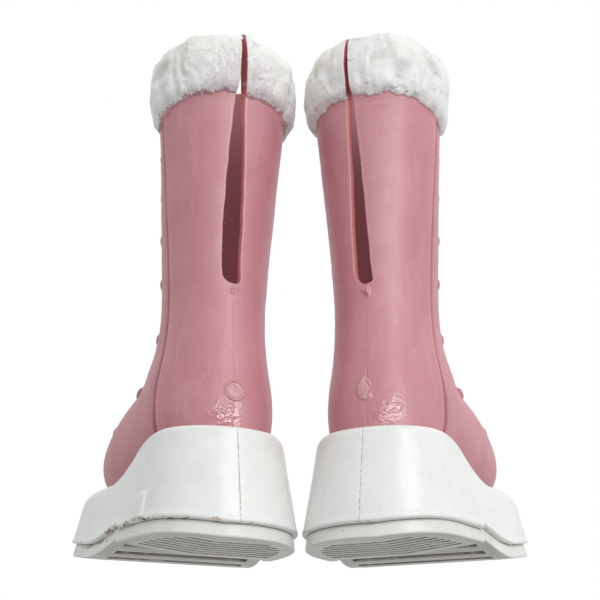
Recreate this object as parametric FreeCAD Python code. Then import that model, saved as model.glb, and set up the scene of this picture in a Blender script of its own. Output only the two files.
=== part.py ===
"""A pair of soft-vinyl platform boots for a one-sixth scale fashion doll.

Each boot is a slit pull-on shaft with a fur-effect cuff, laced at the front, on a deep white platform
with ribbed tread plates. One boot is modelled in its own frame and placed twice, as a mirrored pair.

Boot frame, in millimetres: +Z up, +Y towards the toe, +X towards the outside of the foot, and the origin
on the ground below the axis of the shaft. Row frame: +Z up, +Y the way the pair faces, and the origin on the
ground in the middle of the pair's footprint, with the toes turned out.
"""
import math
import os

import FreeCAD
import Part
from FreeCAD import Vector

# Driving dimensions
SHAFT_SPACING = 24.2        # between the axes of the two shafts
TOE_OUT_DEG = 22.7          # each boot turned outwards from straight ahead
RIM_Z = 75.4                # top of the moulded shaft
WALL = 0.9                  # vinyl wall
SEAM_Y = -0.5               # plane of the side seams between the vamp and the quarters
HINGE_GAP = 0.1             # clearance along each bend line

# Platform and tread
PLATE = 1.9                 # thickness of the tread plates
LEDGE = 0.45                # tread plates are this much inside the platform's lower edge
HEEL_FRONT_Y = 2.6          # front of the heel plate
ARCH_Y = 3.0                # where the forefoot plate begins
BALL_Y = 10.0               # lowest point of the forefoot
BALL_R = 12.0               # rocker radius at the ball
ARCH_DEG = 17.0             # slope from the ball up to the arch
ROLL_X = 2.0                # the heel plate is flat up to here, then its outer side rolls up
ROLL_DEG = 6.0
SPRING_DEG = 9.5            # slope from the ball up to the toe
GROOVE_DEPTH = 0.9
TREAD_RIM = 2.3             # plain border round the tread grooves
HEEL_PITCH = 1.5
SOLE_PITCH = 2.2
GROOVE_SHARE = 0.45         # of the pitch

# Slit in the back of the shaft
SLIT_FOOT_Z = 35.8
SLIT_FOOT_HALF = 1.4
SLIT_TOP_HALF = 0.4

# Bend line of each slit flap: from the foot of the slit up to the side of the rim
BEND_FOOT_Z = 36.5
BEND_SIDE_DEG = 65.0        # where the line meets the rim, measured round from the slit
BEND_MID_DEG = 40.0
BEND_OUTSET = 1.7           # the hinge axis is this far outside the chord, clear of the curved wall

# Fur-effect cuff
CUFF_FOOT_Z = 65.4
CUFF_BULGE_R = 11.2

# Front lacing
LACE_ROWS_Z = [60.6, 53.9, 47.1, 40.2, 33.3, 27.6, 23.4]
LACE_HALF_SPAN = 6.5
LACE_WIDTH = 1.1
LACE_RISE = 0.4
HOOK_R = 1.05
HOOK_RISE = 0.6
HOOK_SMALLEST = 0.1         # mm3, slivers left beside a stud are dropped

# Cross-sections of the upper, from the rim to the toe:
# (back or underside y, z), (front or top y, z), half width, squareness (2 is an ellipse)
STATIONS = [
    ((-9.9, 75.4), (9.9, 75.4), 9.9, 2.0),
    ((-9.8, 70.0), (9.9, 70.0), 9.8, 2.0),
    ((-9.4, 64.0), (9.7, 64.0), 9.5, 2.0),
    ((-8.6, 55.0), (9.9, 55.0), 8.75, 2.0),
    ((-7.8, 45.0), (10.5, 45.0), 7.95, 2.0),
    ((-7.5, 36.0), (10.9, 37.5), 7.4, 2.0),
    ((-7.9, 29.0), (11.4, 34.5), 7.35, 2.0),
    ((-8.8, 22.0), (12.3, 32.0), 7.8, 2.05),
    ((-9.0, 17.0), (13.3, 30.0), 8.45, 2.1),
    ((-7.6, 13.0), (14.8, 28.4), 8.8, 2.15),
    ((-2.0, 11.2), (17.0, 26.9), 9.4, 2.2),
    ((5.0, 10.2), (20.0, 25.2), 10.1, 2.25),
    ((12.0, 9.4), (23.4, 23.0), 10.4, 2.25),
    ((18.0, 9.2), (26.4, 20.4), 10.0, 2.2),
    ((23.2, 9.4), (28.3, 17.4), 8.2, 2.1),
    ((26.8, 10.3), (29.2, 14.8), 5.0, 2.0),
    ((28.6, 11.6), (29.6, 13.2), 2.0, 2.0),
]
RING_POINTS = 24
OUTLINE_POINTS = 40
STATION_COUNT = 23          # evenly spaced cross-sections lofted through the ones above

# Platform outlines: the lower edge, and the top edge where the upper sits in it
LOWER_Z = 0.0
UPPER_Z = 15.0
LOWER_OUTLINE = [
    (0, -13.1), (-5.8, -11.6), (-9.8, -7.6), (-11.5, -1.8), (-10.8, 5), (-10.6, 13.5), (-10.2, 21),
    (-7.0, 28.0), (0, 31.0), (8.3, 29.0), (13.9, 23.4), (15.3, 16), (14.2, 9), (12.9, 3.5), (11.6, -1.8),
    (9.8, -7.6), (5.8, -11.6),
]
UPPER_OUTLINE = [
    (0, -10.1), (-4.5, -8.9), (-7.6, -5.8), (-8.6, -1.6), (-8.5, 5), (-8.5, 14), (-8.2, 19.6),
    (-5.7, 25.2), (0, 27.8), (6.4, 26.0), (10.6, 20.8), (11.5, 15.2), (9.9, 9), (8.7, 4), (8.6, -1.6),
    (7.6, -5.8), (4.5, -8.9),
]
# Side view of the platform's top edge, (y, z)
TOP_EDGE = [(-14, 14.4), (-6, 14.9), (-1.6, 14.95), (1.2, 14.85), (2.8, 14.35), (4.2, 13.2), (5.8, 11.85),
            (8.2, 10.7), (11, 10.3), (15, 10.25), (20, 10.3), (26, 10.6), (33, 11.2)]


def closed_curve(points):
    """A smooth closed wire through points."""
    curve = Part.BSplineCurve()
    curve.interpolate(Points=points, PeriodicFlag=True)
    return Part.Wire(curve.toShape())


def open_curve(points):
    curve = Part.BSplineCurve()
    curve.interpolate(Points=points)
    return curve.toShape()


def power(value, squareness):
    return math.copysign(abs(value) ** (2.0 / squareness), value)


def section(station, inset=0.0):
    """The wire of one cross-section, shrunk by inset on every side."""
    (back_y, back_z), (front_y, front_z), half_width, squareness = station
    half = Vector(0, (front_y - back_y) / 2, (front_z - back_z) / 2)
    centre = Vector(0, (front_y + back_y) / 2, (front_z + back_z) / 2)
    up = half * (1 / half.Length)
    depth = half.Length - inset
    width = half_width - inset
    points = []
    for i in range(RING_POINTS):
        angle = 2 * math.pi * i / RING_POINTS - math.pi / 2
        across = width * power(math.cos(angle), squareness)
        along = depth * power(math.sin(angle), squareness)
        points.append(centre + Vector(across, 0, 0) + up * along)
    return closed_curve(points)


def even_stations():
    """The cross-sections above, resampled at an even spacing from the rim to the toe."""
    travel = [0.0]
    for one, other in zip(STATIONS, STATIONS[1:]):
        travel.append(travel[-1] + (math.dist(one[0], other[0]) + math.dist(one[1], other[1])) / 2)

    def through(points):
        curve = Part.BSplineCurve()
        curve.interpolate(Points=points, Parameters=travel)
        return curve

    backs = through([Vector(0, *s[0]) for s in STATIONS])
    fronts = through([Vector(0, *s[1]) for s in STATIONS])
    sizes = through([Vector(s[2], s[3], 0) for s in STATIONS])
    result = []
    for i in range(STATION_COUNT):
        at = travel[-1] * i / (STATION_COUNT - 1)
        back, front, size = backs.value(at), fronts.value(at), sizes.value(at)
        result.append(((back.y, back.z), (front.y, front.z), size.x, size.y))
    return result


def upper_solid(inset=0.0):
    """The whole upper as one closed body; a positive inset gives the hollow, a negative one a skin round it."""
    stations = even_stations()
    if inset > 0:
        (back_y, _), (front_y, _), half_width, squareness = stations[0]
        mouth = ((back_y, RIM_Z + 3), (front_y, RIM_Z + 3), half_width, squareness)
        stations = [mouth] + stations[:-2]
    return Part.makeLoft([section(s, inset) for s in stations], True, True)


def half_space(point, normal, size=160.0):
    """A big block whose flat face is the plane through point, on the side that normal points to."""
    block = Part.makeBox(size, size, size, Vector(-size / 2, -size / 2, 0))
    block.Placement = FreeCAD.Placement(point, FreeCAD.Rotation(Vector(0, 0, 1), normal))
    return block


def prism_across(face, half_width=40.0):
    """A face drawn in the side view, extended across the boot."""
    face.translate(Vector(-half_width, 0, 0))
    return face.extrude(Vector(2 * half_width, 0, 0))


def outline(points, z, inset=0.0):
    """A closed plan outline at height z, moved in by inset."""
    wire = closed_curve([Vector(x, y, z) for x, y in points])
    if not inset:
        return wire
    curve = wire.Edges[0].Curve
    first, last = curve.FirstParameter, curve.LastParameter
    moved = []
    for i in range(OUTLINE_POINTS):
        at = first + (last - first) * i / OUTLINE_POINTS
        tangent = curve.tangent(at)[0]
        inwards = Vector(tangent.y, -tangent.x, 0)
        moved.append(curve.value(at) + inwards * inset)
    return closed_curve(moved)


def polar(radius, angle):
    """A point of the ball's rocker arc, angle measured from straight down."""
    return Vector(0, BALL_Y + radius * math.sin(angle), BALL_R - radius * math.cos(angle))


def rocker_edges(lift, start_y, end_y):
    """The forefoot's lower side profile raised by lift: arch slope, rocker arc, toe spring."""
    arch = -math.radians(ARCH_DEG)
    spring = math.radians(SPRING_DEG)
    radius = BALL_R - lift
    arch_end = polar(radius, arch)
    spring_start = polar(radius, spring)
    first = arch_end + Vector(0, start_y - arch_end.y, (start_y - arch_end.y) * math.tan(arch))
    last = spring_start + Vector(0, end_y - spring_start.y, (end_y - spring_start.y) * math.tan(spring))
    return [
        Part.makeLine(first, arch_end),
        Part.Arc(arch_end, polar(radius, (arch + spring) / 2), spring_start).toShape(),
        Part.makeLine(spring_start, last),
    ], first, last


def sole_band(low, high, start_y, end_y=40.0):
    """The layer between two heights above the forefoot's rocker profile."""
    lower, low_first, low_last = rocker_edges(low, start_y, end_y)
    upper, high_first, high_last = rocker_edges(high, start_y, end_y)
    edges = lower + [Part.makeLine(low_last, high_last)] + upper + [Part.makeLine(high_first, low_first)]
    return prism_across(Part.Face(Part.Wire(Part.__sortEdges__(edges))))


def tapered_block():
    """The platform's flared side walls, taller than the platform at both ends."""
    return Part.makeLoft([outline(LOWER_OUTLINE, LOWER_Z), outline(UPPER_OUTLINE, UPPER_Z + 2)], True, True)


def under_heel(height, front_y):
    """Everything below the heel plate's underside raised by height: flat, then rolling up on the outside."""
    reach = 30.0
    rise = (reach - ROLL_X) * math.tan(math.radians(ROLL_DEG))
    corners = [(-reach, -reach), (reach, -reach), (reach, height + rise), (ROLL_X, height), (-reach, height)]
    wire = Part.makePolygon([Vector(x, front_y - 2 * reach, z) for x, z in corners + corners[:1]])
    return Part.Face(wire).extrude(Vector(0, 2 * reach, 0))


def platform(foot):
    """The deep sole: flared walls, its top edge dipping from the heel to the forefoot, hollowed for the foot."""
    top = open_curve([Vector(0, y, z) for y, z in TOP_EDGE])
    lower, first, last = rocker_edges(PLATE, ARCH_Y, TOP_EDGE[-1][0])
    heel_back = Vector(0, TOP_EDGE[0][0], 0)
    heel_front = Vector(0, ARCH_Y, 0)
    corner_back = Vector(0, *TOP_EDGE[0])
    corner_front = Vector(0, *TOP_EDGE[-1])
    edges = [
        Part.makeLine(heel_back, heel_front), Part.makeLine(heel_front, first), *lower,
        Part.makeLine(last, corner_front), top, Part.makeLine(corner_back, heel_back),
    ]
    profile = prism_across(Part.Face(Part.Wire(Part.__sortEdges__(edges))))
    return tapered_block().common(profile).cut(under_heel(PLATE, ARCH_Y)).cut(foot)


def grooves(first_y, last_y, pitch, low_z, high_z):
    """Evenly spaced cross grooves, each a little under half a pitch wide."""
    width = pitch * GROOVE_SHARE
    count = int((last_y - first_y - width) / pitch) + 1
    bars = [Part.makeBox(60, width, high_z - low_z, Vector(-30, first_y + i * pitch, low_z))
            for i in range(count)]
    return bars[0].multiFuse(bars[1:])


def plan_block(inset, low_z, high_z):
    face = Part.Face(outline(LOWER_OUTLINE, low_z, inset))
    return face.extrude(Vector(0, 0, high_z - low_z))


def heel_tread():
    """The ribbed plate under the heel."""
    plate = plan_block(LEDGE, -1, 8).common(under_heel(PLATE, HEEL_FRONT_Y)).cut(under_heel(0, HEEL_FRONT_Y + 9))
    first = LOWER_OUTLINE[0][1] + LEDGE + TREAD_RIM
    last = HEEL_FRONT_Y - TREAD_RIM / 2
    bars = grooves(first, last, HEEL_PITCH, -1, 8).common(under_heel(GROOVE_DEPTH, HEEL_FRONT_Y))
    return plate.cut(bars.common(plan_block(LEDGE + TREAD_RIM, -1, 8)))


def sole_tread():
    """The rockered ribbed plate under the forefoot."""
    band = sole_band(0, PLATE, ARCH_Y)
    plate = plan_block(LEDGE, -1, 12).common(band)
    toe_y = LOWER_OUTLINE[8][1] - LEDGE - TREAD_RIM
    bars = grooves(ARCH_Y + TREAD_RIM / 2, toe_y, SOLE_PITCH, -3, 9).common(sole_band(-3, GROOVE_DEPTH, ARCH_Y))
    return plate.cut(bars.common(plan_block(LEDGE + TREAD_RIM, -3, 12)))


def slit():
    """The wedge-shaped opening down the back of the shaft, with a rounded foot."""
    top = RIM_Z + 5
    foot = SLIT_FOOT_Z + SLIT_FOOT_HALF
    left = Vector(-SLIT_FOOT_HALF, 0, foot)
    right = Vector(SLIT_FOOT_HALF, 0, foot)
    edges = [
        Part.Arc(left, Vector(0, 0, SLIT_FOOT_Z), right).toShape(),
        Part.makeLine(right, Vector(SLIT_TOP_HALF, 0, top)),
        Part.makeLine(Vector(SLIT_TOP_HALF, 0, top), Vector(-SLIT_TOP_HALF, 0, top)),
        Part.makeLine(Vector(-SLIT_TOP_HALF, 0, top), left),
    ]
    return Part.Face(Part.Wire(edges)).extrude(Vector(0, -30, 0))


def cuff_ring(foot):
    """The thick fur-effect band round the top of the shaft."""
    profile = [(8.0, CUFF_FOOT_Z), (9.75, CUFF_FOOT_Z), (10.7, 66.6), (CUFF_BULGE_R, 69.5), (CUFF_BULGE_R, 72.2),
               (10.7, 74.5), (10.2, 75.2), (8.0, 75.2)]
    wire = Part.makePolygon([Vector(r, 0, z) for r, z in profile + profile[:1]])
    ring = Part.Face(wire).revolve(Vector(0, 0, 0), Vector(0, 0, 1), 360)
    return ring.cut(foot)


def bend_frame(side):
    """The bend line of the flap on one side (-1 inner, +1 outer): foot, unit direction, outward, cut normal."""
    side_angle = math.radians(BEND_SIDE_DEG)
    mid_angle = math.radians(BEND_MID_DEG)
    foot = Vector(0, STATIONS[5][0][0], BEND_FOOT_Z)
    head = Vector(side * CUFF_BULGE_R * math.sin(side_angle), -CUFF_BULGE_R * math.cos(side_angle), RIM_Z)
    along = head - foot
    along = along * (1 / along.Length)
    outward = Vector(side * math.sin(mid_angle), -math.cos(mid_angle), 0)
    normal = along.cross(outward)
    normal = normal * (1 / normal.Length)
    slit_head = Vector(0, -STATIONS[0][2], RIM_Z)
    if normal.dot(slit_head - foot) < 0:
        normal = normal * -1
    return foot, head, along, outward, normal


def flap_region(side, gap):
    """The block of space that holds one slit flap."""
    foot, _, _, _, normal = bend_frame(side)
    own_side = half_space(Vector(0, 0, 0), Vector(side, 0, 0))
    return half_space(foot + normal * gap, normal).common(own_side)


def front_pattern(strips, circles, depth=40.0):
    """Straight strips and round studs drawn in the front view, extended forwards from the shaft's axis."""
    faces = []
    for (x0, z0), (x1, z1), width in strips:
        along = Vector(x1 - x0, 0, z1 - z0)
        across = Vector(-along.z, 0, along.x) * (width / 2 / along.Length)
        start, end = Vector(x0, 0, z0), Vector(x1, 0, z1)
        corners = [start - across, end - across, end + across, start + across, start - across]
        faces.append(Part.Face(Part.makePolygon(corners)))
    for x, z, radius in circles:
        faces.append(Part.Face(Part.Wire(Part.makeCircle(radius, Vector(x, 0, z), Vector(0, 1, 0)))))
    solids = [f.extrude(Vector(0, depth, 0)) for f in faces]
    return solids[0].multiFuse(solids[1:]) if len(solids) > 1 else solids[0]


def lace_ends():
    return [(side * LACE_HALF_SPAN, z) for z in LACE_ROWS_Z for side in (-1, 1)]


def laces(foot):
    """Crossed laces lying on the front of the shaft."""
    strips = []
    for upper, lower in zip(LACE_ROWS_Z, LACE_ROWS_Z[1:]):
        for side in (-1, 1):
            strips.append(((side * LACE_HALF_SPAN, upper), (-side * LACE_HALF_SPAN, lower), LACE_WIDTH))
    strips.append(((-LACE_HALF_SPAN, LACE_ROWS_Z[0]), (LACE_HALF_SPAN, LACE_ROWS_Z[0]), LACE_WIDTH))
    return upper_solid(-LACE_RISE).cut(foot).common(front_pattern(strips, []))


def lace_hooks(foot, lacing):
    """Raised studs that the laces turn round."""
    studs = front_pattern([], [(x, z, HOOK_R) for x, z in lace_ends()])
    raised = upper_solid(-HOOK_RISE).cut(foot).common(studs).cut(lacing)
    return Part.makeCompound([s for s in raised.Solids if s.Volume > HOOK_SMALLEST])


def boot():
    """Every node of one boot, in the boot frame."""
    foot = upper_solid()
    hollow = upper_solid(WALL)
    opening = slit()
    shell = foot.cut(hollow).cut(opening)
    cuff = cuff_ring(foot).cut(opening)
    inner, outer = flap_region(-1, HINGE_GAP), flap_region(1, HINGE_GAP)
    fixed = flap_region(-1, 0).fuse(flap_region(1, 0))
    front = half_space(Vector(0, SEAM_Y, 0), Vector(0, 1, 0))
    back = half_space(Vector(0, SEAM_Y, 0), Vector(0, -1, 0))
    lacing = laces(foot)
    return {
        "vamp": shell.common(front),
        "heel_quarter": shell.common(back).cut(fixed),
        "inner_flap": shell.common(inner),
        "outer_flap": shell.common(outer),
        "cuff_front": cuff.cut(fixed),
        "cuff_inner": cuff.common(inner),
        "cuff_outer": cuff.common(outer),
        "laces": lacing,
        "lace_hooks": lace_hooks(foot, lacing),
        "platform": platform(foot),
        "heel_tread": heel_tread(),
        "sole_tread": sole_tread(),
    }


def place(shape, side, middle_y=0.0):
    """A boot's shape in the row frame; side is -1 for the left boot and +1 for the right."""
    placed = shape.copy()
    placed.rotate(Vector(0, 0, 0), Vector(0, 0, 1), -TOE_OUT_DEG)
    placed.translate(Vector(SHAFT_SPACING / 2, -middle_y, 0))
    return placed if side > 0 else placed.mirror(Vector(0, 0, 0), Vector(1, 0, 0))


def footprint_middle(sole):
    """How far the middle of the pair's footprint is in front of the shafts."""
    box = place(sole, 1).optimalBoundingBox(True, False)
    return (box.YMin + box.YMax) / 2


def main():
    os.makedirs("parts", exist_ok=True)
    shapes = boot()
    middle_y = footprint_middle(shapes["platform"])
    print("footprint middle %.4f" % middle_y)
    for name, shape in shapes.items():
        for prefix, side in (("left", -1), ("right", 1)):
            placed = place(shape, side, middle_y)
            placed.exportStep("parts/%s_%s.step" % (prefix, name))
            print(prefix, name, "solids", len(placed.Solids), "valid", placed.isValid(),
                  "volume %.1f" % placed.Volume)


main()
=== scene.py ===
"""Looks for a pair of doll's platform boots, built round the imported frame. Shapes are in millimetres in the
boot frame (+Z up, +Y to the toe, +X to the outside of the foot, origin under the shaft) until place()."""
import math

import bmesh
import bpy
import numpy as np
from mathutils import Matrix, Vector


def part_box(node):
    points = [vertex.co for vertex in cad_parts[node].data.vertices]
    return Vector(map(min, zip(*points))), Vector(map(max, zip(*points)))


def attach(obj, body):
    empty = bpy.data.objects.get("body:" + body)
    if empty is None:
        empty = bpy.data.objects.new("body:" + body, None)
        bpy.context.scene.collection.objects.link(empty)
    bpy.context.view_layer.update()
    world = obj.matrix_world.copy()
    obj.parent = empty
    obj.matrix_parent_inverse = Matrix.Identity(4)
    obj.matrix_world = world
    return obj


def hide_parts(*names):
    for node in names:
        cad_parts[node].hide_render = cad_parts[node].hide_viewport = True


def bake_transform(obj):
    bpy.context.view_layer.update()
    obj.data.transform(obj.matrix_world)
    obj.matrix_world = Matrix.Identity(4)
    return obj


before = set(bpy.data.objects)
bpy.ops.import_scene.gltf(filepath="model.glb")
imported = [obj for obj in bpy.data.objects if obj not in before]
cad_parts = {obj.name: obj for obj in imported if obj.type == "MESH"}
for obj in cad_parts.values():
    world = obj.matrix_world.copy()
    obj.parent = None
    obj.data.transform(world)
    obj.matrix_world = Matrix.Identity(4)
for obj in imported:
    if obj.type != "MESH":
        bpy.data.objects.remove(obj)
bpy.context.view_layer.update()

MM = 0.001
TOE_OUT = math.radians(22.7)
TOE_COS, TOE_SIN = math.cos(TOE_OUT), math.sin(TOE_OUT)
RIM_Z = 75.4
RIM_RISE = 2.2  # how much higher the rim stands at the front than at the slit
WALL = 0.9
SEAM_Y = -0.5
PLATE = 1.9
TREAD_LEDGE = 0.70  # how far the tread plates stand back under the platform
RIM_LAP = 0.9  # width of the treads' smooth border, under which their ribbed middle ends
RIM_RADIUS = 0.34
SOLE_MIDDLE = np.array([1.0, 8.5])
ARCH_Y = 3.0
BALL_Y = 10.0
BALL_R = 12.0
ARCH_ANGLE = math.radians(17.0)
SPRING_ANGLE = math.radians(9.5)
ROLL_X = 2.0
ROLL_RISE = math.tan(math.radians(6.0))
SLIT_FOOT_Z = 35.8
SLIT_FOOT_HALF = 1.4
SLIT_TOP_HALF = 0.4
SLIT_CUT_Z = (36.0, 38.5, 45.0, 55.0, 68.0)
# How much further out than the moulded wedge each slit edge was trimmed, at those heights
SLIT_CUT = {(-1, 1): (0.1, 0.35, 0.65, 0.65, 0.25), (-1, -1): (-0.35, -0.42, -0.18, -0.22, -0.60),
            (1, 1): (-0.5, -0.68, -0.85, -1.08, -1.52), (1, -1): (0.1, 0.42, 0.68, 0.75, 0.84)}
LACE_ROWS_Z = [60.6, 53.9, 47.1, 40.2, 33.3, 27.6, 23.4]
HOOK_TURN = math.radians(34.0)
GATE_Z = 19.9
GATE_R = 1.3
NUB_Z = 34.9
BACK = -math.pi / 2
BOOTS_APART = 40  # keeps the two boots' procedural patterns from repeating
HALF_BACK = 12.5  # nominal distance from the slit round to a side seam
CUFF_ARC = 35.0  # nominal distance from the slit round to the middle of the cuff's front
CUFF_FOOT_Z = 65.3
CUFF_DEPTH = 10.0
BEND_FOOT = np.array([0, -7.5, 36.5])

# Cross-sections of the upper from the rim to the toe: back (y, z), front (y, z), half width, squareness
STATIONS = np.array([
    (-9.9, 75.4, 9.9, 75.4, 9.9, 2), (-9.8, 70, 9.9, 70, 9.8, 2),
    (-9.4, 64, 9.7, 64, 9.5, 2), (-8.6, 55, 9.9, 55, 8.75, 2),
    (-7.8, 45, 10.5, 45, 7.95, 2), (-7.5, 36, 10.9, 37.5, 7.4, 2),
    (-7.9, 29, 11.4, 34.5, 7.35, 2), (-8.8, 22, 12.3, 32, 7.8, 2.05),
    (-9, 17, 13.3, 30, 8.45, 2.1), (-7.6, 13, 14.8, 28.4, 8.8, 2.15),
    (-2, 11.2, 17, 26.9, 9.4, 2.2), (5, 10.2, 20, 25.2, 10.1, 2.25),
    (12, 9.4, 23.4, 23, 10.4, 2.25), (18, 9.2, 26.4, 20.4, 10, 2.2),
    (23.2, 9.4, 28.3, 17.4, 8.2, 2.1), (26.8, 10.3, 29.2, 14.8, 5, 2),
    (28.6, 11.6, 29.6, 13.2, 2, 2)])
LOWER_OUTLINE = np.array([
    (0, -13.1), (-5.8, -11.6), (-9.8, -7.6), (-11.5, -1.8), (-10.8, 5), (-10.6, 13.5),
    (-10.2, 21), (-7, 28), (0, 31), (8.3, 29), (13.9, 23.4), (15.3, 16),
    (14.2, 9), (12.9, 3.5), (11.6, -1.8), (9.8, -7.6), (5.8, -11.6)])
UPPER_OUTLINE = np.array([
    (0, -10.1), (-4.5, -8.9), (-7.6, -5.8), (-8.6, -1.6), (-8.5, 5), (-8.5, 14),
    (-8.2, 19.6), (-5.7, 25.2), (0, 27.8), (6.4, 26), (10.6, 20.8), (11.5, 15.2),
    (9.9, 9), (8.7, 4), (8.6, -1.6), (7.6, -5.8), (4.5, -8.9)])
OUTLINE_TOP_Z = 17.0
TOP_EDGE = np.array([
    (-14, 14.4), (-6, 14.9), (-1.6, 14.95), (1.2, 14.85), (2.8, 14.35), (4.2, 13.2), (5.8, 11.85),
    (8.2, 10.7), (11, 10.3), (15, 10.25), (20, 10.3), (26, 10.6), (33, 11.2)])
CUFF_PROFILE = np.array([
    (9.7, 65.3), (10.55, 66.1), (11, 67.6), (11.25, 69.6), (11.25, 71.6),
    (10.95, 73.4), (10.4, 74.9), (9.8, 75.55), (9.3, 75.5)])


# ---------------- small maths

def spline(knots, values, periodic=False):
    """A cubic spline through values at knots, as a function of arrays."""
    x, y = np.asarray(knots, float), np.asarray(values, float)
    if periodic:
        pad = 4
        span = x[-1] - x[0]
        x = np.concatenate([x[-pad - 1:-1] - span, x, x[1:pad + 1] + span])
        y = np.concatenate([y[-pad - 1:-1], y, y[1:pad + 1]])
    n, h = len(x), np.diff(x)
    a, b = np.eye(n), np.zeros((n,) + y.shape[1:])
    for i in range(1, n - 1):
        a[i, i - 1:i + 2] = h[i - 1], 2 * (h[i - 1] + h[i]), h[i]
        b[i] = 6 * ((y[i + 1] - y[i]) / h[i] - (y[i] - y[i - 1]) / h[i - 1])
    m = np.linalg.solve(a, b)

    def at(t):
        t = np.asarray(t, float)
        k = np.clip(np.searchsorted(x, t) - 1, 0, n - 2)
        one, two, hk = x[k + 1] - t, t - x[k], h[k]
        if y.ndim > 1:
            one, two, hk = one[..., None], two[..., None], hk[..., None]
        return ((m[k] * one ** 3 + m[k + 1] * two ** 3) / (6 * hk)
                + (y[k] / hk - m[k] * hk / 6) * one + (y[k + 1] / hk - m[k + 1] * hk / 6) * two)
    return at


def spow(value, squareness):
    return np.sign(value) * np.abs(value) ** (2.0 / squareness)


def bell(distance, width):
    return np.exp(-(distance / width) ** 2)


def smooth(value, low, high):
    t = np.clip((value - low) / (high - low), 0, 1)
    return t * t * (3 - 2 * t)


def lattice(ix, iy, iz, seed):
    h = (ix * 374761393 + iy * 668265263 + iz * 1440670441 + seed * 1013904223) & 0xFFFFFFFF
    h = ((h ^ (h >> 13)) * 1274126177) & 0xFFFFFFFF
    return ((h ^ (h >> 16)) & 0xFFFF) / 32767.5 - 1.0


def noise(points, seed):
    """Smooth value noise, -1 to 1, at points (..., 3)."""
    i = np.floor(points).astype(np.int64)
    f = points - i
    f = f * f * f * (f * (f * 6 - 15) + 10)
    total = 0
    for corner in np.ndindex(2, 2, 2):
        weight = np.where(corner, f, 1 - f).prod(-1)
        total = total + weight * lattice(*np.moveaxis(i + corner, -1, 0), seed)
    return total


def layered(points, octaves, seed):
    return sum(noise(points * 2 ** k, seed + k) / 2 ** k for k in range(octaves))


def noise2(u, v, seed):
    return noise(np.stack(np.broadcast_arrays(u, v, np.zeros(1)), -1), seed)


# ---------------- the upper's skin

_back_steps, _front_steps = (np.hypot(*np.diff(STATIONS[:, i:i + 2], axis=0).T) for i in (0, 2))
_travel = np.r_[0, np.cumsum((_back_steps + _front_steps) / 2)]
_station = spline(_travel, STATIONS)
LENGTH = _travel[-1]


def skin(s, turn, inset=0.0):
    """The point of the upper at travel s from the rim and angle turn round its section, BACK at the back."""
    s, turn, inset = np.broadcast_arrays(np.asarray(s, float), turn, inset)
    back_y, back_z, front_y, front_z, width, square = np.moveaxis(_station(s), -1, 0)
    half_y, half_z = (front_y - back_y) / 2, (front_z - back_z) / 2
    half = np.hypot(half_y, half_z)
    across = np.maximum(width - inset, 0.05) * spow(np.cos(turn), square)
    along = np.maximum(half - inset, 0.05) * spow(np.sin(turn), square)
    return np.stack([across, (front_y + back_y) / 2 + half_y / half * along,
                     (front_z + back_z) / 2 + half_z / half * along], -1)


def rim_rise(points):
    """The rim stands higher at the front than at the slit: lifts points of the shaft's top to follow it."""
    points[..., 2] += RIM_RISE * smooth(points[..., 1], -3, 9) * smooth(points[..., 2], 64, 75)
    return points


def travel_finder(column, end, count):
    """A function that gives the travel at which one column of the stations is at height z."""
    dense = np.linspace(0, end, count)
    heights = _station(dense)[:, column]
    return lambda z: np.interp(-np.asarray(z, float), -heights, dense)


travel_at_back = travel_finder(1, _travel[9], 2000)
travel_at_front = travel_finder(3, LENGTH - 3, 2500)


def seam_turn(s):
    """The angle at which each section meets the side seam; BACK where the seam has run out under the foot."""
    low, high = np.full(np.shape(s), BACK), np.full(np.shape(s), 0.6)
    for _ in range(40):
        mid = (low + high) / 2
        behind = skin(s, mid)[..., 1] < SEAM_Y
        low, high = np.where(behind, mid, low), np.where(behind, high, mid)
    return np.where(skin(s, np.full(np.shape(s), BACK))[..., 1] < SEAM_Y, low, BACK)


def slit_half(z):
    """Half the width of the slit as moulded: a wedge, wider at its round foot than at the rim."""
    z = np.asarray(z, float)
    centre = SLIT_FOOT_Z + SLIT_FOOT_HALF
    share = (z - centre) / (RIM_Z + 5 - centre)
    wedge = SLIT_FOOT_HALF + (SLIT_TOP_HALF - SLIT_FOOT_HALF) * share
    drop = np.clip((centre - z) / SLIT_FOOT_HALF, 0, 1)
    round_foot = SLIT_FOOT_HALF * np.sqrt(1 - drop ** 2)
    return np.where(z >= centre, wedge, np.where(z > SLIT_FOOT_Z, round_foot, 0.0))


def slit_edge(z, side, flap):
    """How far a flap's edge stands from the middle, as trimmed by hand; below zero it is past the middle."""
    z = np.asarray(z, float)
    wobble = 0.06 * noise2(z / 2.6, side * 3.0 + flap, 5) + 0.02 * noise2(z / 0.8, side * 3.0 + flap, 6)
    trimmed = (np.interp(z, SLIT_CUT_Z, SLIT_CUT[side, flap]) + wobble) * smooth(z, SLIT_FOOT_Z, 37.0)
    half = slit_half(z)
    return (half + trimmed) * (half > 0)


def slit_slant(z, flap):
    """How much nearer the other flap the inner corner of a cut edge is than its outer corner."""
    return (0.08 + 0.27 * smooth(z, 57, 66)) * (flap < 0) * (slit_half(z) > 0)


# ---------------- placing and mesh building

_cuffs = np.array([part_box(f"right_cuff_{part}") for part in ("front", "inner", "outer")])
SHAFT_X, SHAFT_Y, _ = (_cuffs[:, 0].min(0) + _cuffs[:, 1].max(0)) / 2 / MM


def place(points, side):
    """Boot frame millimetres to row frame metres; side is -1 for the left boot and +1 for the right."""
    p = np.asarray(points, float).reshape(-1, 3)
    x = p[:, 0] * TOE_COS + p[:, 1] * TOE_SIN + SHAFT_X
    y = -p[:, 0] * TOE_SIN + p[:, 1] * TOE_COS + SHAFT_Y
    return np.stack([x * side, y, p[:, 2]], 1) * MM


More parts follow.
